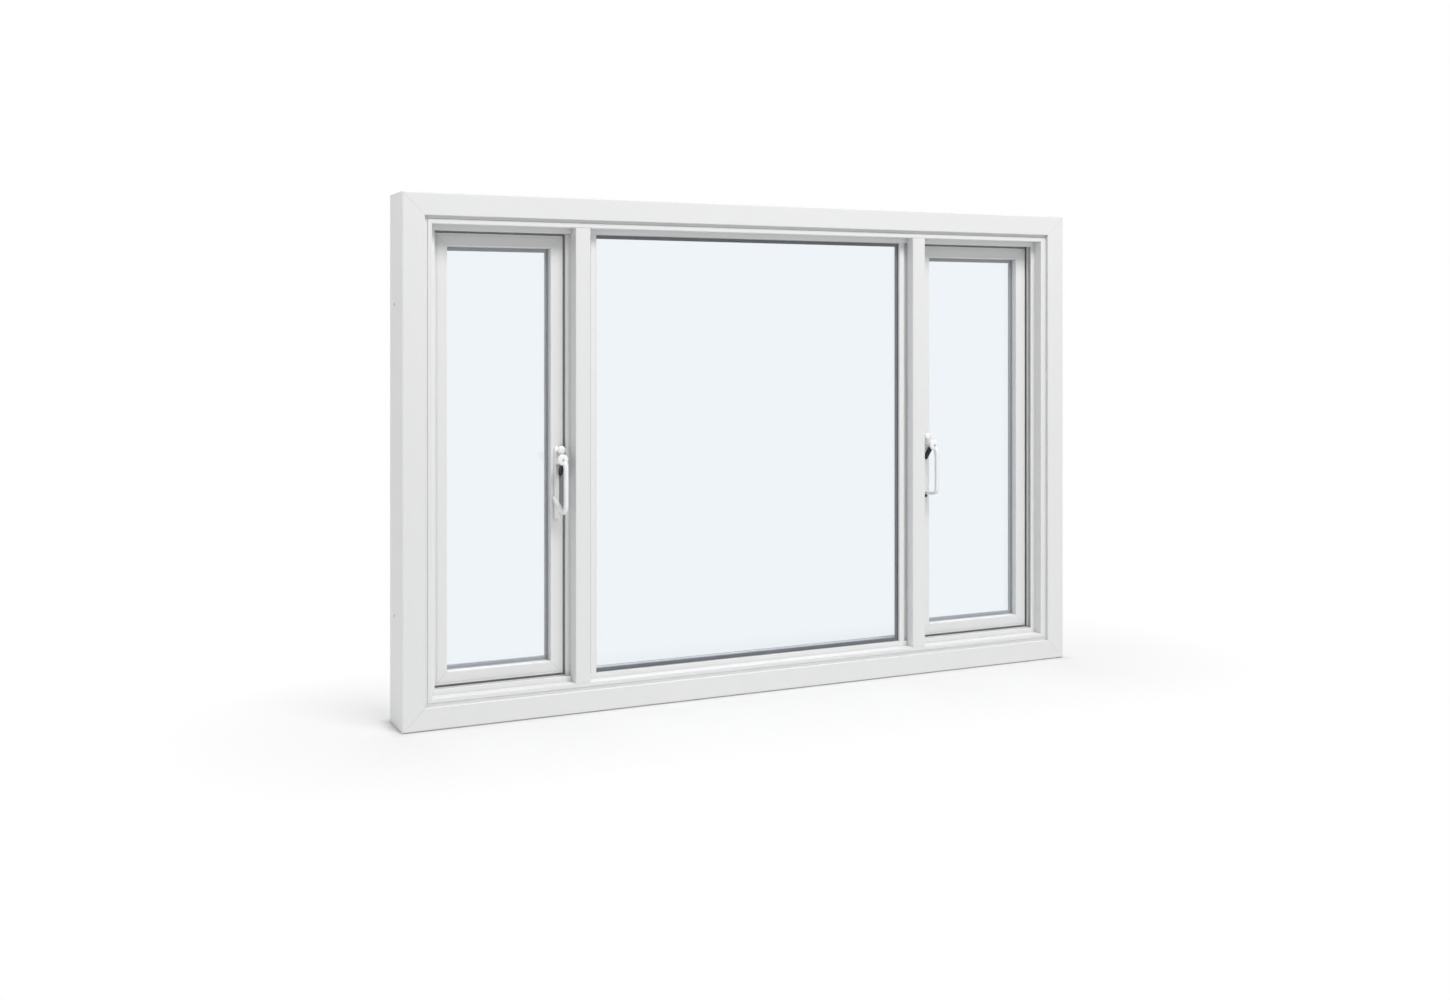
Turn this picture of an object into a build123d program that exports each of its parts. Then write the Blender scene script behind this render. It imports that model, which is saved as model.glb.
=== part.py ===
"""Three-light vinyl sliding window: a fixed centre light and two narrow end sashes.

The window stands on its sill. X runs along its width, Y from the room face at the front
to the weather face at the back, and Z up. The origin is at the middle of the sill's foot.
Insets are measured inward from an outer edge and depths back from the room face.
"""

import os

from build123d import *

os.makedirs("parts", exist_ok=True)

# Overall frame, in millimetres
frame_width = 1816.0
frame_height = 1206.0
frame_depth = 120.0

# Outer frame section
face_width = 51.5
outer_bevel = 2.5
groove_width = 7.5
groove_depth = 9.0
bead_width = 10.5
bead_depth = 7.0
arris_round = 1.8
lip_width = 12.5
lip_thickness = 3.0
lip_round = 1.0
fixed_track_width = 14.5
fixed_track_drop = 10.5
divider_thickness = 2.5
sash_track_width = 42.0
sash_track_drop = 16.0
screen_leg_thickness = 3.0
screen_track_width = 9.0
screen_track_drop = 8.0
weather_wall_thickness = 5.0
weather_step_width = 22.0
weather_step_depth = 6.0

# Mullions
mullion_inset = 444.0
mullion_set_off = -16.0
mullion_face_width = 37.0
mullion_round = 2.5
sash_strip_width = 11.0
sash_strip_set_back = 12.0
shadow_groove_width = 10.0
shadow_groove_depth = 8.0
glazing_strip_width = 14.0
glazing_strip_leg = 1.5
back_stop_width = 9.0

# Sash section
sash_edge_gap = 4.0
sash_rebate_width = 16.0
sash_rebate_depth = 8.0
sash_face_width = 30.5
sash_band_width = 6.5
sash_band_step = 0.8
sash_thickness = 39.0
sash_face_gap = 1.0
sash_lip_height = 16.0
sash_pocket_width = 12.5
sash_arris_round = 2.5

# Glazing units
pane_thickness = 3.0
air_space = 6.0
side_bite = 9.5
end_bite = 4.5
unit_set_off = -2.5
fixed_gasket_thickness = 1.5
sash_gasket_thickness = 2.0
gasket_show = 1.5
gasket_cover = 3.0
spacer_bar_width = 13.0
seal_edge_gap = 1.0
tape_width = 4.5
joint_gap = 0.3
glazing_bead_chamfer = 4.5

# Sash seals and glides
pile_inset = 3.0
pile_width = 6.0
pile_clearance = 0.4
glide_length = 60.0
glide_width = 24.0
glide_end_distance = 60.0

# Pull handles, two alike, each set a little to the right of its stile's middle
handle_set_off = 4.0
handle_foot = 466.0
handle_height = 139.0
handle_reach = 51.5
handle_grip_width = 11.0
handle_grip_thickness = 13.0
handle_eye_height = 20.0
handle_leg_rise = 27.0
handle_leg_height = 13.0
handle_head_bend = 15.0
handle_foot_bend = 5.0
handle_inner_bend = 7.0
handle_edge_round = 3.5
plate_width = 16.0
plate_thickness = 4.0
plate_foot_drop = 16.0
finger_recess_width = 9.0
finger_recess_depth = 2.5
finger_recess_margin = 3.0
latch_radius = 8.5
latch_neck_radius = 5.0
latch_neck_reach = 7.0
latch_reach = 25.0
latch_rim_bevel = 2.5
latch_gap = 0.3

# Fixing holes through each jamb
fixing_hole_radius = 3.25
fixing_hole_foot = 250.0
fixing_hole_spacing = 706.0

# Places worked out from the sizes above
front = -frame_depth / 2
left_edge = -frame_width / 2
right_edge = frame_width / 2
frame_box = (left_edge, right_edge, 0.0, frame_height)
bead_inset = face_width + groove_width
reveal_inset = bead_inset + bead_width
lip_inset = reveal_inset + lip_width
weather_step_inset = lip_inset - weather_step_width
weather_step_front = frame_depth - weather_step_depth
screen_track_back = weather_step_front - weather_wall_thickness
screen_track_floor = lip_inset - screen_track_drop
screen_leg_back = screen_track_back - screen_track_width
sash_track_back = screen_leg_back - screen_leg_thickness
sash_track_floor = lip_inset - sash_track_drop
divider_back = sash_track_back - sash_track_width
fixed_track_back = divider_back - divider_thickness
fixed_track_floor = lip_inset - fixed_track_drop
lip_back = fixed_track_back - fixed_track_width
lip_depth = lip_back - lip_thickness

left_mullion_x = left_edge + mullion_inset + mullion_set_off
right_mullion_x = right_edge - mullion_inset + mullion_set_off
bar_half_width = mullion_face_width / 2
sash_strip_front = lip_depth + sash_strip_set_back
sash_strip_edge = bar_half_width + sash_strip_width
glazing_strip_start = bar_half_width + shadow_groove_width
glazing_strip_edge = glazing_strip_start + glazing_strip_width
web_edge = glazing_strip_start + glazing_strip_leg
back_stop_edge = web_edge + back_stop_width

sash_front = divider_back + sash_face_gap
sash_back = sash_front + sash_thickness
sash_rebate_front = sash_front + sash_rebate_depth
sash_section_width = sash_rebate_width + sash_face_width
sash_pocket_floor = sash_section_width - sash_pocket_width
sash_lip_back = sash_front + sash_lip_height
sash_inset = lip_inset + sash_edge_gap - sash_rebate_width
sash_lap = sash_rebate_width - sash_edge_gap - sash_strip_edge

unit_thickness = 2 * pane_thickness + air_space
fixed_unit_front = lip_back + fixed_gasket_thickness
sash_unit_front = sash_lip_back + sash_gasket_thickness
centre_sight_box = (
    left_mullion_x + glazing_strip_edge,
    right_mullion_x - glazing_strip_edge,
    lip_inset,
    frame_height - lip_inset,
)

handle_side = sash_strip_edge + sash_edge_gap + sash_face_width / 2
handle_head = handle_foot + handle_height
plate_front = sash_front - plate_thickness
plate_foot = handle_foot - plate_foot_drop
latch_z = handle_head + latch_gap + latch_radius
plate_head = latch_z + plate_width / 2


def shrink(box, amount):
    """The box (left, right, bottom, top) drawn in by an amount on every side."""
    left, right, bottom, top = box
    return (left + amount, right - amount, bottom + amount, top - amount)


def rectangle_outline(inset_from, inset_to, depth_from, depth_to):
    """A plain section between two insets and two depths."""
    return [
        (inset_from, depth_from),
        (inset_to, depth_from),
        (inset_to, depth_to),
        (inset_from, depth_to),
    ]


def mitred_member(outline, box, side, rounds=(), gap=0.0):
    """A length of a section along one side of a box, mitred at both ends.

    The outline is a list of (inset, depth) points, and rounds pairs some of them with radii.
    """
    left, right, bottom, top = box

    def place(inset, depth):
        return {
            "sill": (front + depth, bottom + inset),
            "head": (front + depth, top - inset),
            "left": (left + inset, front + depth),
            "right": (right - inset, front + depth),
        }[side]

    corner_x = {"left": left, "right": right}
    corner_z = {"sill": bottom, "head": top}
    inward_x = {"left": 1, "right": -1}
    inward_z = {"sill": 1, "head": -1}
    if side in corner_z:
        plane = Plane.YZ.offset(left)
        length = right - left
        ends = [(corner_x[end], corner_z[side], inward_x[end], -inward_z[side]) for end in corner_x]
    else:
        plane = Plane.XY.offset(bottom)
        length = top - bottom
        ends = [(corner_x[side], corner_z[end], -inward_x[side], inward_z[end]) for end in corner_z]

    with BuildPart() as member:
        with BuildSketch(plane) as section:
            with BuildLine():
                Polyline(*[place(*point) for point in outline], close=True)
            make_face()
            for point, radius in rounds:
                corner = section.vertices().sort_by_distance((*place(*point), 0))[0]
                fillet(corner, radius)
        extrude(amount=length)
        for end_x, end_z, normal_x, normal_z in ends:
            mitre = Plane((end_x, 0, end_z), x_dir=(0, 1, 0), z_dir=(normal_x, 0, normal_z))
            split(bisect_by=mitre.offset(gap / 2), keep=Keep.TOP)
    return member.part


def mitred_ring(outline, box, gap):
    """Four mitred lengths round a box, parted by a hair at the corners."""
    with BuildPart() as ring:
        for side in ("sill", "head", "left", "right"):
            add(mitred_member(outline, box, side, gap=gap))
    return ring.part


def pane(box, depth):
    """A sheet of glass that fills a box at a depth."""
    left, right, bottom, top = box
    with BuildPart() as sheet:
        with BuildSketch(Plane.XZ.offset(-(front + depth + pane_thickness))):
            with Locations(((left + right) / 2, (bottom + top) / 2)):
                Rectangle(right - left, top - bottom)
        extrude(amount=pane_thickness)
    return sheet.part


def write(part, name):
    """Labels a finished piece and writes it to its own file."""
    part.label = name
    export_step(part, f"parts/{name}.step")


def write_glazing_unit(name, sight_box, unit_front, gasket_front):
    """A sealed unit behind a sight opening: two panes, the spacer between them and the front gasket.

    The unit stands on its setting blocks, a little to the left in its pocket.
    """
    left, right, bottom, top = sight_box
    box = (
        left - side_bite + unit_set_off,
        right + side_bite + unit_set_off,
        bottom - end_bite,
        top + end_bite,
    )
    spacer_front = unit_front + pane_thickness
    spacer_back = spacer_front + air_space
    spacer_outline = rectangle_outline(seal_edge_gap, seal_edge_gap + spacer_bar_width, spacer_front, spacer_back)
    gasket_outline = rectangle_outline(0, gasket_cover + gasket_show, gasket_front, unit_front)
    write(pane(box, unit_front), f"{name}_front_pane")
    write(pane(box, spacer_back), f"{name}_back_pane")
    write(mitred_ring(spacer_outline, box, joint_gap), f"{name}_spacer")
    write(mitred_ring(gasket_outline, shrink(sight_box, -gasket_cover), joint_gap), f"{name}_gasket")
    return box


# Outer frame: one stepped section, mitred at the four corners
frame_outline = [
    (0, outer_bevel),
    (outer_bevel, 0),
    (face_width, 0),
    (face_width, groove_depth),
    (bead_inset, groove_depth),
    (bead_inset, bead_depth),
    (reveal_inset, bead_depth),
    (reveal_inset, lip_depth),
    (lip_inset, lip_depth),
    (lip_inset, lip_back),
    (fixed_track_floor, lip_back),
    (fixed_track_floor, fixed_track_back),
    (lip_inset, fixed_track_back),
    (lip_inset, divider_back),
    (sash_track_floor, divider_back),
    (sash_track_floor, sash_track_back),
    (lip_inset, sash_track_back),
    (lip_inset, screen_leg_back),
    (screen_track_floor, screen_leg_back),
    (screen_track_floor, screen_track_back),
    (lip_inset, screen_track_back),
    (lip_inset, weather_step_front),
    (weather_step_inset, weather_step_front),
    (weather_step_inset, frame_depth),
    (0, frame_depth),
]
frame_rounds = [
    ((face_width, 0), arris_round),
    ((bead_inset, bead_depth), lip_round),
    ((reveal_inset, bead_depth), arris_round),
    ((lip_inset, lip_depth), lip_round),
    ((lip_inset, weather_step_front), lip_round),
    ((weather_step_inset, frame_depth), arris_round),
]
for side, name in (("head", "frame_head"), ("sill", "frame_sill")):
    write(mitred_member(frame_outline, frame_box, side, frame_rounds), name)

# Jambs take the fixing screws through the floor of the sash track
fixing_hole_depth = (divider_back + sash_track_back) / 2
for side, name, hole_start in (
    ("left", "frame_left_jamb", left_edge),
    ("right", "frame_right_jamb", right_edge - sash_track_floor),
):
    with BuildPart() as jamb:
        add(mitred_member(frame_outline, frame_box, side, frame_rounds))
        with BuildSketch(Plane.YZ.offset(hole_start)):
            for height in (fixing_hole_foot, fixing_hole_foot + fixing_hole_spacing):
                with Locations((front + fixing_hole_depth, height)):
                    Circle(fixing_hole_radius)
        extrude(amount=sash_track_floor, mode=Mode.SUBTRACT)
    write(jamb.part, name)


def mullion_run(x_from, x_to, depth_from, depth_to, foot, rounding=0.0):
    """One rectangular run of the mullion, between two depths and coped to a foot inset."""
    with BuildPart() as run:
        with BuildSketch(Plane.XY.offset(foot)) as section:
            with Locations(((x_from + x_to) / 2, front + (depth_from + depth_to) / 2)):
                Rectangle(abs(x_to - x_from), depth_to - depth_from)
            if rounding:
                fillet(section.vertices().group_by(Axis.Y)[0], rounding)
        extrude(amount=frame_height - 2 * foot)
    return run.part


def write_mullion(name, x, towards_centre):
    """A mullion: a front bar, a strip beside the sash, and a shadow groove and strip beside the fixed light."""

    def run(side_from, side_to, depth_from, depth_to, foot, rounding=0.0):
        return mullion_run(
            x + towards_centre * side_from,
            x + towards_centre * side_to,
            depth_from,
            depth_to,
            foot,
            rounding,
        )

    groove_back = lip_depth + shadow_groove_depth
    with BuildPart() as mullion:
        add(run(-bar_half_width, bar_half_width, bead_depth, lip_depth, reveal_inset, mullion_round))
        add(run(-bar_half_width, bar_half_width, lip_depth, lip_back, lip_inset))
        add(run(glazing_strip_start, glazing_strip_edge, lip_depth, lip_back, lip_inset, lip_round))
        add(run(-bar_half_width, bar_half_width, lip_back, fixed_track_back, fixed_track_floor))
        add(run(-sash_strip_edge, bar_half_width, sash_strip_front, fixed_track_back, fixed_track_floor, lip_round))
        add(run(glazing_strip_start, web_edge, lip_back, fixed_track_back, fixed_track_floor))
        add(run(bar_half_width, web_edge, groove_back, fixed_track_back, fixed_track_floor))
        add(run(-sash_strip_edge, back_stop_edge, fixed_track_back, divider_back, lip_inset))
    write(mullion.part, name)


write_mullion("left_mullion", left_mullion_x, 1)
write_mullion("right_mullion", right_mullion_x, -1)

# Fixed centre light
fixed_unit_box = write_glazing_unit("centre", centre_sight_box, fixed_unit_front, lip_back)
fixed_unit_back = fixed_unit_front + unit_thickness
fixed_tape = rectangle_outline(seal_edge_gap, seal_edge_gap + tape_width, fixed_unit_back, fixed_track_back)
write(mitred_ring(fixed_tape, fixed_unit_box, joint_gap), "centre_glazing_tape")

# Sash section: a rebated outer edge, a flat face, and a glass pocket open to the back
sash_band_inset = sash_rebate_width + sash_band_width
sash_outline = [
    (0, sash_rebate_front),
    (sash_rebate_width, sash_rebate_front),
    (sash_rebate_width, sash_front + sash_band_step),
    (sash_band_inset, sash_front + sash_band_step),
    (sash_band_inset, sash_front),
    (sash_section_width, sash_front),
    (sash_section_width, sash_lip_back),
    (sash_pocket_floor, sash_lip_back),
    (sash_pocket_floor, sash_back),
    (0, sash_back),
]
sash_rounds = [
    ((sash_rebate_width, sash_front + sash_band_step), lip_round),
    ((sash_section_width, sash_front), sash_arris_round),
]
sash_unit_back = sash_unit_front + unit_thickness
sash_bead_outline = [
    (0, sash_unit_back),
    (sash_pocket_width, sash_unit_back),
    (sash_pocket_width, sash_back - glazing_bead_chamfer),
    (sash_pocket_width - glazing_bead_chamfer, sash_back),
    (0, sash_back),
]
pile_front = divider_back + pile_clearance
sash_pile = rectangle_outline(pile_inset, pile_inset + pile_width, pile_front, sash_rebate_front)


def write_sash(name, box, jamb_side, meeting_side):
    """One end sash: four mitred members, their glass, seals and glides."""
    members = {
        "head": "top_rail",
        "sill": "bottom_rail",
        jamb_side: "jamb_stile",
        meeting_side: "meeting_stile",
    }
    for side, member in members.items():
        write(mitred_member(sash_outline, box, side, sash_rounds), f"{name}_{member}")
    write_glazing_unit(name, shrink(box, sash_section_width), sash_unit_front, sash_lip_back)
    bead_box = shrink(box, sash_pocket_floor)
    write(mitred_ring(sash_bead_outline, bead_box, joint_gap), f"{name}_glazing_beads")
    write(mitred_ring(sash_pile, box, joint_gap), f"{name}_weatherstrip")

    left, right, bottom, top = box
    with BuildPart() as glides:
        with BuildSketch(Plane.XY.offset(sash_track_floor)):
            for x in (left + glide_end_distance, right - glide_end_distance):
                with Locations((x, front + (sash_rebate_front + sash_back) / 2)):
                    Rectangle(glide_length, glide_width)
        extrude(amount=bottom - sash_track_floor)
    write(glides.part, f"{name}_glides")


def write_handle(name, x):
    """A pull handle on the meeting stile: back plate, D-shaped pull and round thumb latch."""
    plate_y = front + plate_front
    grip_front = plate_y - handle_reach
    grip_back = grip_front + handle_grip_thickness
    eye_foot = handle_head - handle_eye_height
    leg_foot = handle_foot + handle_leg_rise
    inner_foot = handle_foot + handle_leg_height
    recess_foot = leg_foot + handle_leg_height + finger_recess_margin
    recess_head = eye_foot - finger_recess_margin
    with BuildPart() as plate:
        with BuildSketch(Plane.XZ.offset(-(front + sash_front))):
            with Locations((x, (plate_foot + plate_head) / 2)):
                SlotOverall(plate_head - plate_foot, plate_width, rotation=90)
        extrude(amount=plate_thickness)
        with BuildSketch(Plane.XZ.offset(-plate_y)):
            with Locations((x, (recess_foot + recess_head) / 2)):
                SlotOverall(recess_head - recess_foot, finger_recess_width, rotation=90)
        extrude(amount=-finger_recess_depth, mode=Mode.SUBTRACT)
    write(plate.part, f"{name}_plate")

    with BuildPart() as pull:
        with BuildSketch(Plane.YZ.offset(x - handle_grip_width / 2)) as side_view:
            with BuildLine():
                Polyline(
                    (plate_y, handle_head),
                    (grip_front, handle_head),
                    (grip_front, handle_foot),
                    (grip_back, handle_foot),
                    (plate_y, leg_foot),
                    (plate_y, leg_foot + handle_leg_height),
                    (grip_back, inner_foot),
                    (grip_back, eye_foot),
                    (plate_y, eye_foot),
                    close=True,
                )
            make_face()
            for corner, radius in (
                ((grip_front, handle_head), handle_head_bend),
                ((grip_front, handle_foot), handle_foot_bend),
                ((grip_back, inner_foot), handle_inner_bend),
                ((grip_back, eye_foot), handle_inner_bend),
            ):
                fillet(side_view.vertices().sort_by_distance((*corner, 0))[0], radius)
        extrude(amount=handle_grip_width)
        outer_edges = [
            edge
            for face in pull.faces().filter_by(Axis.X)
            for edge in face.edges()
            if edge.center().Y < grip_front + handle_edge_round or edge.center().Z > eye_foot + handle_edge_round
        ]
        fillet(outer_edges, handle_edge_round)
    write(pull.part, f"{name}_pull")

    with BuildPart() as latch:
        with BuildSketch(Plane.XZ.offset(-plate_y)):
            with Locations((x, latch_z)):
                Circle(latch_neck_radius)
        extrude(amount=latch_neck_reach)
        with BuildSketch(Plane.XZ.offset(-(plate_y - latch_neck_reach))):
            with Locations((x, latch_z)):
                Circle(latch_radius)
        extrude(amount=latch_reach - latch_neck_reach)
        rims = latch.edges().filter_by(GeomType.CIRCLE).filter_by(lambda rim: rim.radius > latch_neck_radius)
        chamfer(rims, latch_rim_bevel)
    write(latch.part, f"{name}_latch")


# End sashes and their handles
left_sash_box = (
    left_edge + sash_inset,
    left_mullion_x + sash_lap,
    sash_inset,
    frame_height - sash_inset,
)
right_sash_box = (
    right_mullion_x - sash_lap,
    right_edge - sash_inset,
    sash_inset,
    frame_height - sash_inset,
)
write_sash("left_sash", left_sash_box, "left", "right")
write_sash("right_sash", right_sash_box, "right", "left")
write_handle("left_handle", left_mullion_x - handle_side + handle_set_off)
write_handle("right_handle", right_mullion_x + handle_side + handle_set_off)
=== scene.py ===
"""Looks of the three-light vinyl sliding window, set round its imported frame.

X runs along the width, Y from the room face to the weather face and Z up, in metres.
"""
import math
from collections import namedtuple

import bmesh
import bpy
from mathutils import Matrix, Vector


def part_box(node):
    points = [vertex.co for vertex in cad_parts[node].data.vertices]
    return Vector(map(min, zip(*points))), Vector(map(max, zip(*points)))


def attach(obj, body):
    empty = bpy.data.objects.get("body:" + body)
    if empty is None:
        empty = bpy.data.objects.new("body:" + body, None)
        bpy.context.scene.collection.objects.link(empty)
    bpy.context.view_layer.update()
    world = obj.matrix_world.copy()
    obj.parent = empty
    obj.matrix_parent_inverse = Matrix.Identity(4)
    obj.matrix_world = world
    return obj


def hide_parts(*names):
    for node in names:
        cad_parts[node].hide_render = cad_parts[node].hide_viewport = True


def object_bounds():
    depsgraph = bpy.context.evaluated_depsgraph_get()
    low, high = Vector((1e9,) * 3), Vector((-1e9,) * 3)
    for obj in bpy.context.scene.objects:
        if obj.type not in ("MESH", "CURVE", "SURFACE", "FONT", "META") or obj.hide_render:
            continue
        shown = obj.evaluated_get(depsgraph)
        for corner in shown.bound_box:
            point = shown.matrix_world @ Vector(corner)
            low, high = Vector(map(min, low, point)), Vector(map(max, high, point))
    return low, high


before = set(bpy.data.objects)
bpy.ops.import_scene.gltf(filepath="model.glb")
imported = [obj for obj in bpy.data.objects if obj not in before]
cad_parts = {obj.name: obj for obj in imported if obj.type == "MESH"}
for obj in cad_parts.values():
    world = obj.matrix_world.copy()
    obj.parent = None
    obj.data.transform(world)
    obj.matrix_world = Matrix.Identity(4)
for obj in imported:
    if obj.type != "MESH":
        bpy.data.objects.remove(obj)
cad_low, cad_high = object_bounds()

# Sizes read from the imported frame
half_width = cad_high[0]
half_depth = cad_high[1]
room_face = cad_low[1]


def flat_box(low, high):
    """The left, right, foot and head of a box, seen from the front."""
    return (low[0], high[0], low[2], high[2])


def sash_outline(side):
    """The outer edges of one sash, from its two rails."""
    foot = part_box(f"{side}_sash_bottom_rail")
    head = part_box(f"{side}_sash_top_rail")
    return flat_box(foot[0], head[1])


class Wire:
    """One socket of a finish: sums on it add Math nodes."""

    def __init__(self, finish, socket):
        self.finish = finish
        self.socket = socket

    def math(self, operation, first, second=0.0, clamp=False):
        settings = {"operation": operation, "use_clamp": clamp}
        return self.finish.node("ShaderNodeMath", settings, {0: first, 1: second})

    def __add__(self, other):
        return self.math("ADD", self, other)

    __radd__ = __add__

    def __sub__(self, other):
        return self.math("SUBTRACT", self, other)

    def __rsub__(self, other):
        return self.math("SUBTRACT", other, self)

    def __mul__(self, other):
        return self.math("MULTIPLY", self, other)

    __rmul__ = __mul__

    def __truediv__(self, other):
        return self.math("DIVIDE", self, other)

    def __rtruediv__(self, other):
        return self.math("DIVIDE", other, self)

    def __pow__(self, other):
        return self.math("POWER", self, other)

    def __abs__(self):
        return self.math("ABSOLUTE", self)

    def larger(self, other):
        return self.math("MAXIMUM", self, other)

    def smaller(self, other):
        return self.math("MINIMUM", self, other)

    def clamped(self):
        return self.math("ADD", self, 0.0, clamp=True)


class Finish:
    """A material made of nodes, for one kind of surface on the window."""

    def __init__(self, name, tree=None):
        self.material = None
        if tree is None:
            self.material = bpy.data.materials.new(name)
            self.material.use_nodes = True
            tree = self.material.node_tree
        self.tree = tree
        self.tree.nodes.clear()

    def node(self, kind, settings=None, sockets=None, out=0):
        """Adds a node, sets it up, joins its sockets and hands back one output."""
        made = self.tree.nodes.new(kind)
        for key, value in (settings or {}).items():
            setattr(made, key, value)
        for key, value in (sockets or {}).items():
            if isinstance(value, Wire):
                self.tree.links.new(value.socket, made.inputs[key])
            else:
                made.inputs[key].default_value = value
        if not made.outputs:
            return made
        return Wire(self, made.outputs[out])

    def place(self):
        """The point on the window, in its own frame."""
        return self.node("ShaderNodeTexCoord", out="Object")

    def parts(self, vector):
        """The three numbers of a vector."""
        made = self.node("ShaderNodeSeparateXYZ", sockets={0: vector})
        outputs = made.socket.node.outputs
        return [Wire(self, outputs[axis]) for axis in range(3)]

    def stretched(self, vector, scale):
        return self.node("ShaderNodeVectorMath", {"operation": "MULTIPLY"}, {0: vector, 1: scale})

    def noise(self, vector, scale, detail=2.0, roughness=0.5):
        sockets = {"Vector": vector, "Scale": scale, "Detail": detail, "Roughness": roughness}
        return self.node("ShaderNodeTexNoise", sockets=sockets)

    def blended(self, amount, first, second):
        """A colour between two colours."""
        settings = {"data_type": "RGBA", "clamp_factor": True}
        return self.node("ShaderNodeMix", settings, {0: amount, 6: first, 7: second}, out=2)

    def bump(self, height, strength, distance):
        sockets = {"Strength": strength, "Distance": distance, "Height": height}
        return self.node("ShaderNodeBump", sockets=sockets)

    def in_sight(self):
        """One where the camera looks, straight, by gloss or through glass, and nothing elsewhere."""
        camera_ray = self.node("ShaderNodeLightPath", out="Is Camera Ray")
        outputs = camera_ray.socket.node.outputs
        glossy_ray = Wire(self, outputs["Is Glossy Ray"])
        clear_ray = Wire(self, outputs["Is Transmission Ray"])
        return camera_ray.larger(glossy_ray).larger(clear_ray)

    def principled(self, **sockets):
        named = {key.replace("_", " "): value for key, value in sockets.items()}
        return self.node("ShaderNodeBsdfPrincipled", sockets=named)

    def output(self, shader):
        self.node("ShaderNodeOutputMaterial", sockets={"Surface": shader})
        return self.material


def rgb(red, green, blue):
    return (red, green, blue, 1.0)


# White vinyl
vinyl_light = rgb(0.850, 0.850, 0.848)
vinyl_dull = rgb(0.795, 0.797, 0.800)
vinyl_seam = rgb(0.560, 0.562, 0.565)
# Colour of the painted shade in crevices and grooves
crevice_shade_colour = rgb(0.300, 0.285, 0.280)
scale_along = 0.4
scale_across = 260.0
die_line_scale = {
    "x": (scale_along, scale_across, scale_across),
    "z": (scale_across, scale_across, scale_along),
}
cloud_scale = 6.0
speckle_scale = 420.0
# Painted shade in crevices: how far it reaches, how it grows, where it starts and how strong it is
crevice_reach = 0.016
crevice_gain = 1.6
crevice_start = 0.45
crevice_shade_strength = 0.48
seam_half_width = 0.0011
seam_tint = 0.75
seam_sink = 6.0
vinyl_relief = 0.15
vinyl_relief_depth = 0.00004


def mitre_seam(finish, place, outline):
    """The weld lines at the four mitres of a frame with this outline."""
    left, right, foot, head = outline
    x, _, z = finish.parts(place)
    from_side = (x - left).smaller(right - x)
    from_end = (z - foot).smaller(head - z)
    return (1.0 - abs(from_side - from_end) / seam_half_width).clamped()


def vinyl_finish(name, runs_along, outline=None):
    """Satin white vinyl with the lines of its extrusion, the welds at its mitres and painted shade in
    its crevices.
    """
    finish = Finish(name)
    place = finish.place()
    die_lines = finish.noise(finish.stretched(place, die_line_scale[runs_along]), 1.0)
    cloud = finish.noise(place, cloud_scale, 3.0)
    speckle = finish.noise(place, speckle_scale)
    colour = finish.blended(cloud * 0.50 + die_lines * 0.15, vinyl_light, vinyl_dull)
    # Painted shade: ambient occlusion darkens the colour in crevices and grooves
    reach = {"Distance": crevice_reach}
    openness = finish.node("ShaderNodeAmbientOcclusion", {"samples": 8}, reach, out="AO")
    crevice_painted_shade = ((1.0 - openness) * crevice_gain - crevice_start).clamped()
    colour = finish.blended(crevice_painted_shade * crevice_shade_strength, colour, crevice_shade_colour)
    height = die_lines * 0.5 + speckle * 0.5
    if outline:
        seam = mitre_seam(finish, place, outline)
        colour = finish.blended(seam * seam_tint, colour, vinyl_seam)
        height = height - seam * seam_sink
    surface = finish.principled(
        Base_Color=colour,
        Roughness=0.30 + die_lines * 0.10 + cloud * 0.06,
        Normal=finish.bump(height, vinyl_relief, vinyl_relief_depth),
    )
    return finish.output(surface)


# Clear glass: the share of light that a face reflects seen straight on, and its tints
glass_gloss = 0.04
glass_mirror = rgb(0.93, 0.96, 0.98)
glass_tint = rgb(0.966, 0.976, 0.985)


def glass_finish(name):
    """Clear float glass: see-through, with a reflection that grows towards the edge of sight."""
    finish = Finish(name)
    ripple = finish.noise(finish.place(), 1.7)
    edge_on = finish.node("ShaderNodeLayerWeight", sockets={"Blend": 0.5}, out="Facing")
    gloss = glass_gloss + (1.0 - glass_gloss) * edge_on ** 5.0
    share = (gloss + (ripple - 0.5) * 0.05).clamped()
    mirror = finish.principled(Base_Color=glass_mirror, Metallic=1.0, Roughness=0.02)
    clear = finish.node("ShaderNodeBsdfTransparent", sockets={"Color": glass_tint})
    return finish.output(finish.node("ShaderNodeMixShader", sockets={0: share, 1: clear, 2: mirror}))


def spacer_finish(name, dark, pale):
    """Foam spacer with a fine grain."""
    finish = Finish(name)
    place = finish.place()
    grain = finish.noise(place, 900.0, 3.0)
    cloud = finish.noise(place, 25.0)
    surface = finish.principled(
        Base_Color=finish.blended(grain * 0.6 + cloud * 0.4, dark, pale),
        Roughness=0.62 + grain * 0.2,
        Normal=finish.bump(grain, 0.5, 0.0002),
    )
    return finish.output(surface)


def pile_finish(name, dark, pale):
    """Woven pile of fibres in tufts."""
    finish = Finish(name)
    place = finish.place()
    fibres = finish.noise(place, 2600.0, 4.0, 0.7)
    tufts = finish.noise(place, 320.0)
    surface = finish.principled(
        Base_Color=finish.blended(fibres * 0.7 + tufts * 0.3, dark, pale),
        Roughness=0.9 + fibres * 0.1,
        Normal=finish.bump(fibres, 0.8, 0.0004),
    )
    return finish.output(surface)


# Depth of the fine grain on small mouldings
grain_depth = 0.0001


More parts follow.
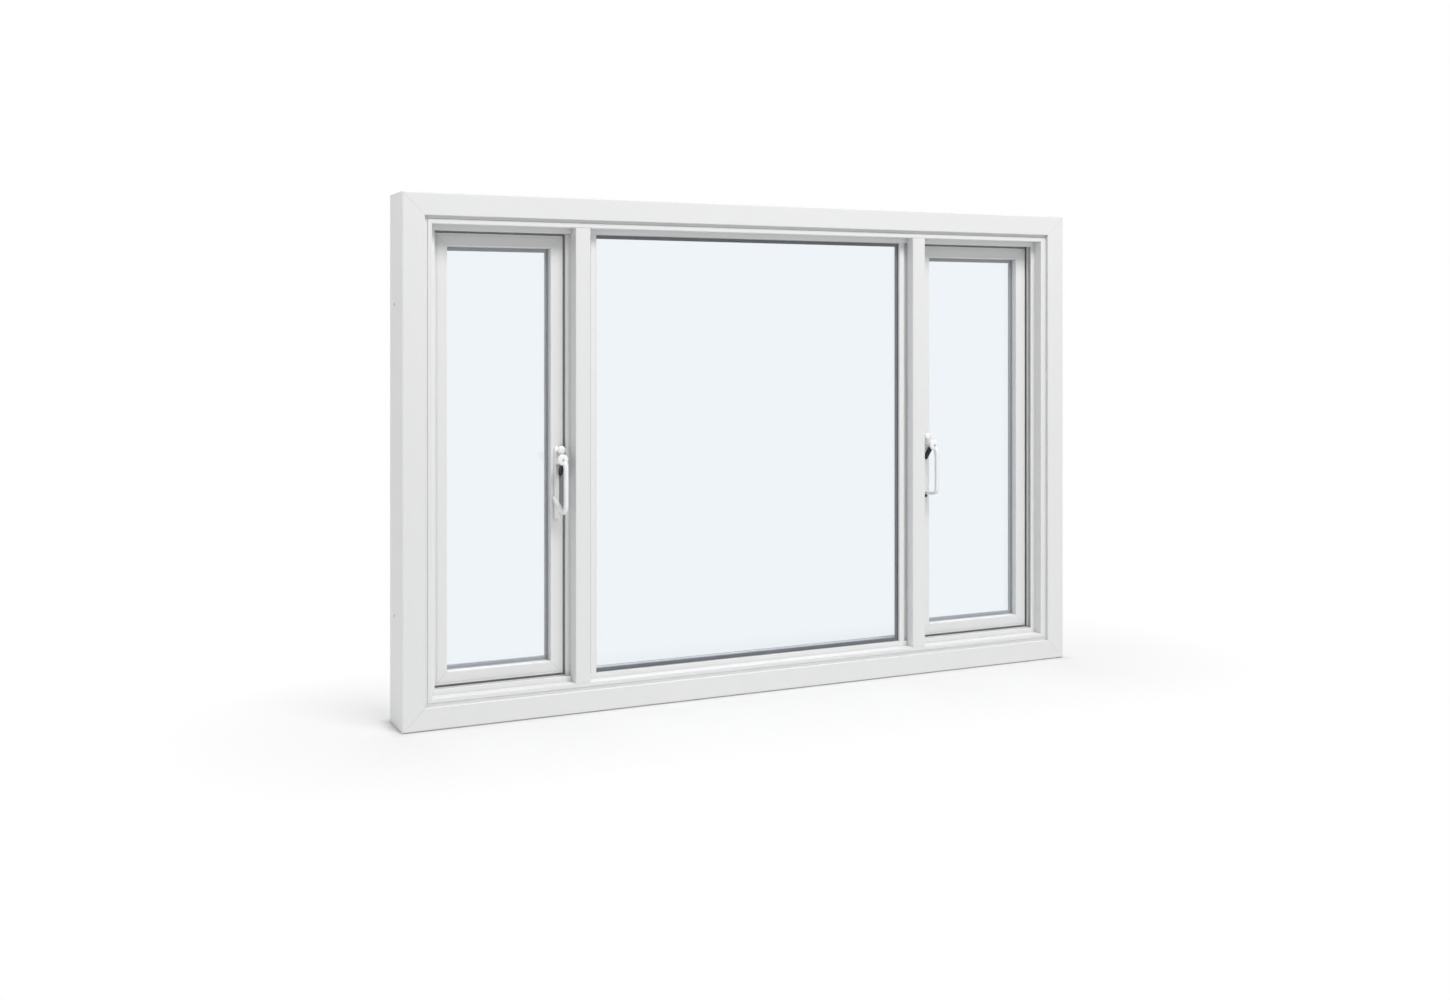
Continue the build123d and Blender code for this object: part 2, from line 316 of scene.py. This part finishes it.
def nylon_finish(name, clean, scuffed):
    """Plain moulded nylon, a little scuffed along its way."""
    finish = Finish(name)
    place = finish.place()
    scuffs = finish.noise(finish.stretched(place, (4.0, 300.0, 300.0)), 1.0, 3.0)
    grain = finish.noise(place, 500.0)
    surface = finish.principled(
        Base_Color=finish.blended(scuffs, clean, scuffed),
        Roughness=0.42 + scuffs * 0.2,
        Normal=finish.bump(grain, 0.3, grain_depth),
    )
    return finish.output(surface)


def moulded_finish(name, tone, cloud_tone, grain, cloud, roughness, spread, relief, **shine):
    """A small moulding: its colour and roughness change in clouds, over a fine grain."""
    finish = Finish(name)
    place = finish.place()
    fine = finish.noise(place, grain)
    broad = finish.noise(place, cloud, 3.0)
    surface = finish.principled(
        Base_Color=finish.blended(broad, tone, cloud_tone),
        Roughness=roughness + broad * spread,
        Normal=finish.bump(fine, relief, grain_depth),
        **shine,
    )
    return finish.output(surface)


# Finishes of the small pieces
glass = glass_finish("float_glass")
centre_spacer = spacer_finish(
    "centre_spacer_foam",
    dark=rgb(0.145, 0.151, 0.163),
    pale=rgb(0.220, 0.229, 0.244),
)
sash_spacer = spacer_finish(
    "sash_spacer_foam",
    dark=rgb(0.420, 0.435, 0.460),
    pale=rgb(0.540, 0.556, 0.584),
)
pile = pile_finish("weather_pile", dark=rgb(0.20, 0.20, 0.21), pale=rgb(0.46, 0.46, 0.47))
nylon = nylon_finish("glide_nylon", clean=rgb(0.76, 0.76, 0.72), scuffed=rgb(0.60, 0.60, 0.57))
gasket = moulded_finish(
    "gasket_rubber",
    tone=rgb(0.52, 0.52, 0.53),
    cloud_tone=rgb(0.62, 0.62, 0.63),
    grain=600.0,
    cloud=14.0,
    roughness=0.45,
    spread=0.2,
    relief=0.3,
)
# Grey of the pad behind a grip: painted shade
shade_pad_finish = moulded_finish(
    "shade_pad_grey",
    tone=rgb(0.25, 0.25, 0.26),
    cloud_tone=rgb(0.34, 0.34, 0.35),
    grain=700.0,
    cloud=60.0,
    roughness=0.55,
    spread=0.2,
    relief=0.4,
)
# Black that stands for shade: the bar under the eye and the cap on the right plate
shadow_black_finish = moulded_finish(
    "painted_shadow_black",
    tone=rgb(0.018, 0.018, 0.019),
    cloud_tone=rgb(0.036, 0.036, 0.038),
    grain=700.0,
    cloud=60.0,
    roughness=0.55,
    spread=0.2,
    relief=0.4,
)
screw_steel = moulded_finish(
    "screw_steel",
    tone=rgb(0.42, 0.42, 0.43),
    cloud_tone=rgb(0.26, 0.26, 0.27),
    grain=1500.0,
    cloud=180.0,
    roughness=0.34,
    spread=0.2,
    relief=0.3,
    Metallic=0.85,
)
lacquer = moulded_finish(
    "handle_lacquer",
    tone=rgb(0.93, 0.93, 0.93),
    cloud_tone=rgb(0.90, 0.90, 0.905),
    grain=260.0,
    cloud=22.0,
    roughness=0.16,
    spread=0.08,
    relief=0.15,
    Coat_Weight=1.0,
    Coat_Roughness=0.06,
    Coat_IOR=2.0,
)

# Finishes of the vinyl sections, and the finish for each ending of a node's name
frame_outline = flat_box(cad_low, cad_high)
frame_rail = vinyl_finish("frame_rail_vinyl", "x", frame_outline)
frame_jamb = vinyl_finish("frame_jamb_vinyl", "z", frame_outline)
mullion_vinyl = vinyl_finish("mullion_vinyl", "z")
vinyl_finishes = {frame_rail, frame_jamb, mullion_vinyl}
finish_by_ending = {
    "frame_head": frame_rail,
    "frame_sill": frame_rail,
    "frame_left_jamb": frame_jamb,
    "frame_right_jamb": frame_jamb,
    "mullion": mullion_vinyl,
    "glazing_beads": mullion_vinyl,
    "pane": glass,
    "centre_spacer": centre_spacer,
    "sash_spacer": sash_spacer,
    "gasket": gasket,
    "tape": gasket,
    "weatherstrip": pile,
    "glides": nylon,
    "plate": lacquer,
    "pull": lacquer,
    "latch": lacquer,
}
for sash_side in ("left", "right"):
    outline = sash_outline(sash_side)
    rail_vinyl = vinyl_finish(f"{sash_side}_sash_rail_vinyl", "x", outline)
    stile_vinyl = vinyl_finish(f"{sash_side}_sash_stile_vinyl", "z", outline)
    vinyl_finishes.update((rail_vinyl, stile_vinyl))
    finish_by_ending[f"{sash_side}_sash_top_rail"] = rail_vinyl
    finish_by_ending[f"{sash_side}_sash_bottom_rail"] = rail_vinyl
    finish_by_ending[f"{sash_side}_sash_jamb_stile"] = stile_vinyl
    finish_by_ending[f"{sash_side}_sash_meeting_stile"] = stile_vinyl


def finish_for(node_name):
    """The finish with the longest ending that fits a node's name."""
    endings = [ending for ending in finish_by_ending if node_name.endswith(ending)]
    return finish_by_ending[max(endings, key=len)]


arris_width = 0.0009
arris_angle = math.radians(45.0)


def soften_arrises(node_object):
    """Rounds the sharp edges of a vinyl piece, as an extrusion's are."""
    arris = node_object.modifiers.new("soft_arris", "BEVEL")
    arris.width = arris_width
    arris.segments = 2
    arris.limit_method = "ANGLE"
    arris.angle_limit = arris_angle


for node_name, node_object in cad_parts.items():
    node_finish = finish_for(node_name)
    node_object.data.materials.clear()
    node_object.data.materials.append(node_finish)
    if node_finish in vinyl_finishes:
        soften_arrises(node_object)

# Pieces modelled here, in millimetres: depth from the room face, height from the foot of the window
mm = 0.001


def add_piece(name, shape, finish, stands_for=()):
    """Makes a piece from a shape, gives it its finish and seats it on the window."""
    mesh = bpy.data.meshes.new(name)
    bmesh.ops.recalc_face_normals(shape, faces=shape.faces)
    shape.to_mesh(mesh)
    shape.free()
    for face in mesh.polygons:
        face.use_smooth = True
    piece = bpy.data.objects.new(name, mesh)
    mesh.materials.append(finish)
    bpy.context.scene.collection.objects.link(piece)
    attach(piece, "root")
    if stands_for:
        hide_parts(*stands_for)


def smooth_through(points, steps):
    """Points on a smooth curve through a few given ones."""
    points = [Vector(point) for point in points]
    padded = [2 * points[0] - points[1], *points, 2 * points[-1] - points[-2]]
    curve = []
    for before, start, end, after in zip(padded, padded[1:], padded[2:], padded[3:]):
        for step in range(steps):
            t = step / steps
            curve.append(0.5 * (
                2 * start
                + (end - before) * t
                + (2 * before - 5 * start + 4 * end - after) * t ** 2
                + (3 * start - before - 3 * end + after) * t ** 3
            ))
    curve.append(points[-1])
    return curve


def join_rings(shape, rings):
    """Skins a row of equal rings of points and closes its two ends."""
    made = [[shape.verts.new(point) for point in ring] for ring in rings]
    for first, second in zip(made, made[1:]):
        for index in range(len(first)):
            following = (index + 1) % len(first)
            shape.faces.new((first[index], first[following], second[following], second[index]))
    shape.faces.new(made[0])
    shape.faces.new(made[-1])


def softened_ring(corners, squareness):
    """Points of a rounded square, one unit each way, as (across, along) pairs."""
    ring = []
    for index in range(corners):
        turn = 2 * math.pi * index / corners
        across, along = math.cos(turn), math.sin(turn)
        ring.append((
            math.copysign(abs(across) ** (2 / squareness), across),
            math.copysign(abs(along) ** (2 / squareness), along),
        ))
    return ring


def sweep(shape, x, path, section):
    """Sweeps a section along (depth, height, thickness, width, lean) points beside a line at x."""
    rings = []
    for index, (depth, height, thickness, width, lean) in enumerate(path):
        before = path[max(index - 1, 0)]
        after = path[min(index + 1, len(path) - 1)]
        along = Vector((after[0] - before[0], after[1] - before[1])).normalized()
        across = Vector((-along.y, along.x))
        rings.append([
            Vector((
                x + (lean + u * width / 2) * mm,
                room_face + (depth + across.x * v * thickness / 2) * mm,
                (height + across.y * v * thickness / 2) * mm,
            ))
            for u, v in section
        ])
    join_rings(shape, rings)


towards_room = Vector((0.0, -1.0, 0.0))
large_turning = 32
small_turning = 20


def turned_shape(shape, profile, centre, corners):
    """Turns a (radius, reach) profile about a line from a centre towards the room."""
    side = towards_room.orthogonal().normalized()
    up = towards_room.cross(side)
    rings = []
    for radius, reach in profile:
        rings.append([
            Vector(centre) + mm * (
                towards_room * reach
                + side * radius * math.cos(2 * math.pi * index / corners)
                + up * radius * math.sin(2 * math.pi * index / corners)
            )
            for index in range(corners)
        ])
    join_rings(shape, rings)


# A small bar's levels through its depth, with its share of the full size at each
bar_levels = ((-1.0, 0.80), (-0.8, 0.95), (0.0, 1.0), (0.8, 0.95), (1.0, 0.80))
bar_section = softened_ring(24, 4.0)


def rounded_bar(shape, centre, half_sizes, turn=0.0):
    """A small bar with soft edges, turned about the depth axis."""
    rings = []
    for level, share in bar_levels:
        ring = []
        for u, v in bar_section:
            across = u * half_sizes[0] * share
            along = v * half_sizes[2] * share
            ring.append(Vector(centre) + mm * Vector((
                across * math.cos(turn) - along * math.sin(turn),
                level * half_sizes[1],
                across * math.sin(turn) + along * math.cos(turn),
            )))
        rings.append(ring)
    join_rings(shape, rings)


panel_corner_steps = 10
panel_edge_break = 0.3


def rounded_panel(shape, outline, corner, back, front, edge):
    """A flat panel with round corners and a soft front edge, between two depths."""
    left, right, foot, head = outline
    towards_back = math.copysign(1.0, back - front)
    edge_break = edge * panel_edge_break
    corner_centres = (
        (right - corner, head - corner, 0.0),
        (left + corner, head - corner, 0.5),
        (left + corner, foot + corner, 1.0),
        (right - corner, foot + corner, 1.5),
    )
    rings = []
    for drop, inset in ((abs(back - front), 0.0), (edge, 0.0), (edge_break, edge_break), (0.0, edge)):
        depth = front + towards_back * drop
        ring = []
        for centre_x, centre_z, start in corner_centres:
            for index in range(panel_corner_steps + 1):
                turn = math.pi * (start + 0.5 * index / panel_corner_steps)
                ring.append(Vector((
                    (centre_x + (corner - inset) * math.cos(turn)) * mm,
                    room_face + depth * mm,
                    (centre_z + (corner - inset) * math.sin(turn)) * mm,
                )))
        rings.append(ring)
    join_rings(shape, rings)


def make_turned_piece(name, profile, place, finish):
    """A small turned piece, such as a screw head or a cap."""
    shape = bmesh.new()
    turned_shape(shape, profile, place, small_turning)
    add_piece(name, shape, finish)


# Where a handle stands: its side, its line, the face of its plate, its latch and the way to its mullion
Handle = namedtuple("Handle", "side x face latch_height inward")

# Pull: depth, height, thickness, width and sideways lean along its bow, from the plate to the foot
pull_arch = [
    (53.0, 585.0, 13.0, 12.0, -3.0),
    (42.0, 591.5, 13.0, 12.0, -1.8),
    (28.0, 595.0, 13.0, 12.0, -0.2),
    (16.0, 590.5, 13.0, 12.0, 1.2),
    (8.6, 578.0, 13.0, 11.5, 2.0),
    (7.0, 560.0, 12.5, 11.0, 2.2),
    (6.8, 528.0, 12.4, 11.0, 2.2),
    (7.0, 496.0, 12.0, 11.0, 2.2),
]
pull_feet = {
    "left": [
        (8.6, 478.0, 11.0, 11.5, 1.6),
        (15.0, 470.0, 11.0, 12.0, -0.6),
        (27.0, 476.0, 11.0, 12.0, -4.2),
        (40.0, 488.0, 11.0, 12.0, -7.8),
        (53.0, 502.0, 12.0, 12.0, -11.0),
    ],
    "right": [
        (8.0, 478.0, 11.0, 11.0, 2.0),
        (14.0, 468.5, 9.6, 11.0, 1.4),
        (27.0, 466.0, 9.0, 11.0, 0.0),
        (40.0, 466.0, 9.0, 11.0, -1.6),
        (53.0, 466.0, 11.0, 11.0, -3.0),
    ],
}
pull_steps = 6
pull_section = softened_ring(20, 2.3)

# Round eye at the head of the pull, and the screw in it
eye_profile = [
    (5.0, 30.0),
    (11.0, 36.0),
    (13.0, 39.0),
    (13.4, 41.5),
    (12.8, 43.6),
    (11.2, 44.9),
    (7.0, 45.6),
    (0.3, 45.9),
]
eye_set_out = -4.5
eye_height = 594.0
screw_profile = [
    (2.6, -0.3),
    (2.6, 0.4),
    (2.3, 0.8),
    (1.7, 1.0),
    (1.2, 1.05),
    (1.0, 0.7),
    (0.8, 0.2),
    (0.1, 0.1),
]
screw_reach = eye_profile[-1][1] - 0.3


def make_pull(handle):
    """The bow of a pull, with the round eye at its head and the screw in the eye."""
    shape = bmesh.new()
    sweep(shape, handle.x, smooth_through(pull_arch + pull_feet[handle.side], pull_steps), pull_section)
    eye_x = handle.x + eye_set_out * mm
    turned_shape(shape, eye_profile, (eye_x, handle.face, eye_height * mm), large_turning)
    add_piece(f"{handle.side}_pull_bow", shape, lacquer, [f"{handle.side}_handle_pull"])
    screw_place = (eye_x, handle.face - screw_reach * mm, eye_height * mm)
    make_turned_piece(f"{handle.side}_eye_screw", screw_profile, screw_place, screw_steel)


# Thumb latch: its turned knob and the raised bar on it
knob_profile = [
    (6.0, -0.4),
    (6.0, 4.0),
    (7.0, 5.0),
    (8.9, 5.3),
    (9.8, 6.2),
    (10.2, 8.0),
    (10.2, 11.5),
    (9.8, 13.0),
    (8.6, 14.2),
    (6.4, 14.9),
    (3.2, 15.2),
    (0.3, 15.3),
]
knob_set_in = 3.0
knob_reach = knob_profile[-1][1]
thumb_bar_half_sizes = (1.9, 1.9, 6.2)
thumb_bar_tilt = math.radians(-38.0)


def make_knob(handle):
    """The round thumb latch over a pull, with a raised bar to turn it by."""
    shape = bmesh.new()
    knob_x = handle.x + handle.inward * knob_set_in * mm
    turned_shape(shape, knob_profile, (knob_x, handle.face, handle.latch_height), large_turning)
    bar_centre = (knob_x, handle.face - knob_reach * mm, handle.latch_height)
    rounded_bar(shape, bar_centre, thumb_bar_half_sizes, thumb_bar_tilt)
    add_piece(f"{handle.side}_thumb_latch", shape, lacquer, [f"{handle.side}_handle_latch"])


# Plate under a handle: its edges from the line of the pull, its ends and its depth
plate_left = -11.0
plate_right = 1.0
plate_foot = 450.0
plate_head = 622.0
plate_back_depth = 56.0
plate_front_depth = 52.0
plate_corner = 6.0
plate_edge = 1.2


def make_plate(handle):
    """The white plate under a pull."""
    shape = bmesh.new()
    line = handle.x / mm
    outline = (line + plate_left, line + plate_right, plate_foot, plate_head)
    rounded_panel(shape, outline, plate_corner, plate_back_depth, plate_front_depth, plate_edge)
    add_piece(f"{handle.side}_sculpted_plate", shape, lacquer, [f"{handle.side}_handle_plate"])


# Grey ribbed pad on the stile, at the mullion's side of the plate: painted shade where the grip's
# shadow falls
pad_width = 12.0
pad_gap = 0.3
pad_foot = 470.0
pad_head = 583.0
pad_front_depth = 54.6
pad_corner = 4.0
pad_edge = 0.6
pad_rib_pitch = 5.0
pad_first_rib = 7.0
pad_rib_count = 20
pad_rib_half_sizes = (pad_width * 0.40, 0.5, 1.1)


def make_shade_pad(handle):
    """The ribbed grey pad behind a grip; its grey is painted shade."""
    if handle.inward > 0:
        left = handle.x / mm + plate_right + pad_gap
    else:
        left = handle.x / mm + plate_left - pad_gap - pad_width
    right = left + pad_width
    shape = bmesh.new()
    outline = (left, right, pad_foot, pad_head)
    rounded_panel(shape, outline, pad_corner, plate_back_depth, pad_front_depth, pad_edge)
    for index in range(pad_rib_count):
        height = pad_foot + pad_first_rib + index * pad_rib_pitch
        centre = ((left + right) / 2 * mm, room_face + pad_front_depth * mm, height * mm)
        rounded_bar(shape, centre, pad_rib_half_sizes)
    add_piece(f"{handle.side}_dark_shade_pad", shape, shade_pad_finish)


# Black bar under the eye, from the arch down to the plate, painted shade below the eye: depth, height,
# thickness and width
shade_bar_line = [
    (29.0, 585.5, 11.0, 9.0),
    (37.0, 576.5, 12.5, 9.5),
    (46.0, 566.5, 12.5, 9.5),
    (52.6, 557.0, 11.0, 9.0),
]
shade_bar_set_in = 3.5
shade_bar_steps = 5
shade_bar_section = softened_ring(20, 3.0)


def make_shade_bar(handle):
    """The black bar inside the bow; its black is painted shade under the eye."""
    lean = handle.inward * shade_bar_set_in
    path = smooth_through([(*point, lean) for point in shade_bar_line], shade_bar_steps)
    shape = bmesh.new()
    sweep(shape, handle.x, path, shade_bar_section)
    add_piece(f"{handle.side}_black_shade_bar", shape, shadow_black_finish)


# Cap at the foot of a plate, over its real screw: white on the left, and on the right its black is
# painted shade under the handle's foot
cap_profile = [(4.4, -0.3), (4.4, 0.6), (3.9, 1.0), (1.9, 1.3), (0.2, 1.35)]
cap_set_out = -3.0
cap_height = 457.0
cap_finishes = {"left": lacquer, "right": shadow_black_finish}


def make_cap(handle):
    """The round cap over the lower screw of a plate."""
    place = (handle.x + cap_set_out * mm, handle.face, cap_height * mm)
    make_turned_piece(f"{handle.side}_plate_cap", cap_profile, place, cap_finishes[handle.side])


for handle_side, way_in in (("left", 1.0), ("right", -1.0)):
    plate_low, plate_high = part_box(f"{handle_side}_handle_plate")
    latch_low, latch_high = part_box(f"{handle_side}_handle_latch")
    placed_handle = Handle(
        side=handle_side,
        x=(plate_low[0] + plate_high[0]) / 2,
        face=plate_low[1],
        latch_height=(latch_low[2] + latch_high[2]) / 2,
        inward=way_in,
    )
    make_plate(placed_handle)
    make_pull(placed_handle)
    make_knob(placed_handle)
    make_shade_pad(placed_handle)
    make_shade_bar(placed_handle)
    make_cap(placed_handle)

# Weep covers on the weather step of the sill
weep_back_depth = 114.0
weep_front_depth = 116.6
weep_half_width = 21.0
weep_foot = 64.0
weep_head = 77.0
weep_corner = 3.0
weep_edge = 0.8
weep_places = (-600.0, 0.0, 600.0)
louvre_heights = (67.6, 70.5, 73.4)
louvre_half_sizes = (weep_half_width * 0.8, 0.6, 0.8)


def make_weep_covers():
    """Small louvred covers over the drain slots of the sill."""
    shape = bmesh.new()
    for place in weep_places:
        outline = (place - weep_half_width, place + weep_half_width, weep_foot, weep_head)
        rounded_panel(shape, outline, weep_corner, weep_back_depth, weep_front_depth, weep_edge)
        for height in louvre_heights:
            centre = (place * mm, room_face + weep_front_depth * mm, height * mm)
            rounded_bar(shape, centre, louvre_half_sizes)
    add_piece("sill_weep_covers", shape, mullion_vinyl)


make_weep_covers()

# Studio floor, pale, with the shadow of the window on it
floor_reach = 9.0
floor_squares = 24
floor_drop = 0.0006
floor_glow = 0.50
# Reach of the painted contact shade at the window's foot
contact_shade_reach = 0.03
floor_fade = 0.5
white = rgb(1.0, 1.0, 1.0)


def floor_finish(name):
    """Matt floor near the window, which fades into a plain white one."""
    finish = Finish(name)
    place = finish.place()
    x, y, _ = finish.parts(place)
    outside_x = (abs(x) - half_width).larger(0.0)
    outside_y = (abs(y) - half_depth).larger(0.0)
    reach = (outside_x * outside_x + outside_y * outside_y) ** 0.5
    # Close to the window's foot the white glow falls away to the matt floor, which carries the real
    # shadow and is darker still there: painted contact shade
    near = (reach / contact_shade_reach).clamped()
    far = floor_glow * near + (1.0 - floor_glow) * (reach / floor_fade).clamped()
    grain = finish.noise(place, 40.0)
    colour = finish.blended(grain, rgb(0.78, 0.78, 0.78), rgb(0.74, 0.74, 0.74))
    matt = finish.principled(Base_Color=colour, Roughness=0.9)
    glow = finish.node("ShaderNodeEmission", sockets={"Color": white, "Strength": 1.0})
    share = far * finish.in_sight()
    return finish.output(finish.node("ShaderNodeMixShader", sockets={0: share, 1: matt, 2: glow}))


def make_floor():
    mesh = bpy.data.meshes.new("studio_floor")
    shape = bmesh.new()
    bmesh.ops.create_grid(shape, x_segments=floor_squares, y_segments=floor_squares, size=floor_reach)
    shape.to_mesh(mesh)
    shape.free()
    floor = bpy.data.objects.new("studio_floor", mesh)
    floor.location = (0.0, 0.0, -floor_drop)
    bpy.context.scene.collection.objects.link(floor)
    mesh.materials.append(floor_finish("studio_floor_white"))


make_floor()

# Soft studio light
window_middle = (0.0, 0.0, 0.6)
left_jamb_middle = (-0.9, 0.0, 0.6)
room_light = 0.255
room_tint = rgb(0.98, 0.99, 1.0)


def soft_lamp(name, place, aim, size, power):
    lamp = bpy.data.lights.new(name, "AREA")
    lamp.shape = "RECTANGLE"
    lamp.size, lamp.size_y = size
    lamp.energy = power
    holder = bpy.data.objects.new(name, lamp)
    holder.location = place
    holder.rotation_euler = (Vector(aim) - Vector(place)).to_track_quat("-Z", "Y").to_euler()
    bpy.context.scene.collection.objects.link(holder)


def make_world():
    """A dim room for the light, which the camera, gloss and glass see as white."""
    world = bpy.data.worlds.new("studio_room")
    bpy.context.scene.world = world
    world.use_nodes = True
    room = Finish("studio_room", world.node_tree)
    dim = room.node("ShaderNodeBackground", sockets={"Color": room_tint, "Strength": room_light})
    plain = room.node("ShaderNodeBackground", sockets={"Color": white, "Strength": 1.0})
    mixed = room.node("ShaderNodeMixShader", sockets={0: room.in_sight(), 1: dim, 2: plain})
    room.node("ShaderNodeOutputWorld", sockets={"Surface": mixed})


soft_lamp("front_softbox", place=(0.8, -4.3, 6.6), aim=window_middle, size=(3.5, 2.5), power=440.0)
soft_lamp("side_fill", place=(-3.6, 0.3, 1.4), aim=left_jamb_middle, size=(1.6, 2.2), power=22.0)
soft_lamp("rear_fill", place=(0.5, 4.0, 2.6), aim=window_middle, size=(3.5, 2.5), power=90.0)
make_world()

# Camera at the photograph's place
view = bpy.data.cameras.new("photo_view")
view.lens = 37.05
view.sensor_width = 36.0
view.shift_y = -0.119
camera = bpy.data.objects.new("photo_view", view)
camera.location = (-1.6713, -3.3627, 0.9032)
camera.rotation_euler = (math.radians(90.0), 0.0, math.radians(-25.22))
bpy.context.scene.collection.objects.link(camera)
bpy.context.scene.camera = camera

bpy.context.scene.view_settings.view_transform = "Standard"
